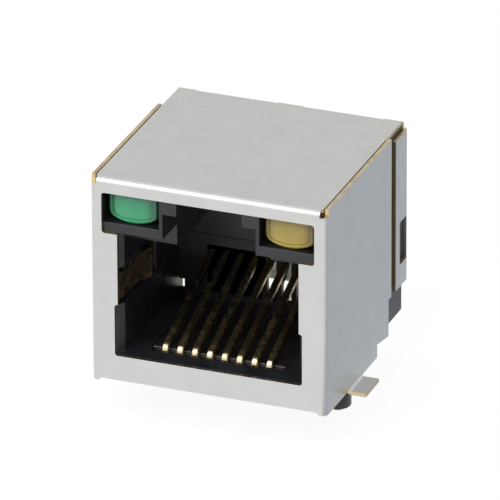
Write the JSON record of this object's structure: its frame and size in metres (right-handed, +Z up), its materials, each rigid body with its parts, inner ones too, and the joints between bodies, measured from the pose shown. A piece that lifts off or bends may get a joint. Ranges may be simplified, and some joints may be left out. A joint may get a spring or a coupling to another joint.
{
  "type": "rj45 board jack",
  "caption": "Shielded modular network jack for a circuit board, latch side up, with a status light in each upper corner.",
  "frame": {"origin": "on the board's top face, half way between the two locating posts", "axes": "+X to the right seen from the plug's side, +Y from the plug opening to the rear, +Z up from the board"},
  "size_m": [0.0184, 0.0158, 0.0169],
  "materials": {
    "plated_sheet": "satin nickel plate over brass, bare brass at the cut edges",
    "black_moulding": "moulded, semi-gloss",
    "black_insert": "moulded, semi-gloss",
    "contact_wire": "gold-plated copper alloy wire",
    "green_lens": "tinted diffusing epoxy",
    "yellow_lens": "tinted diffusing epoxy",
    "tinned_lead": "tinned square wire"
  },
  "bodies": {
    "root": {"shield": "plated_sheet", "housing": "black_moulding", "contact_carrier": "black_insert", "contact_1": "contact_wire", "contact_2": "contact_wire", "contact_3": "contact_wire", "contact_4": "contact_wire", "contact_5": "contact_wire", "contact_6": "contact_wire", "contact_7": "contact_wire", "contact_8": "contact_wire", "led_green": "green_lens", "led_yellow": "yellow_lens", "green_anode": "tinned_lead", "green_cathode": "tinned_lead", "yellow_anode": "tinned_lead", "yellow_cathode": "tinned_lead"}
  },
  "joints": []
}
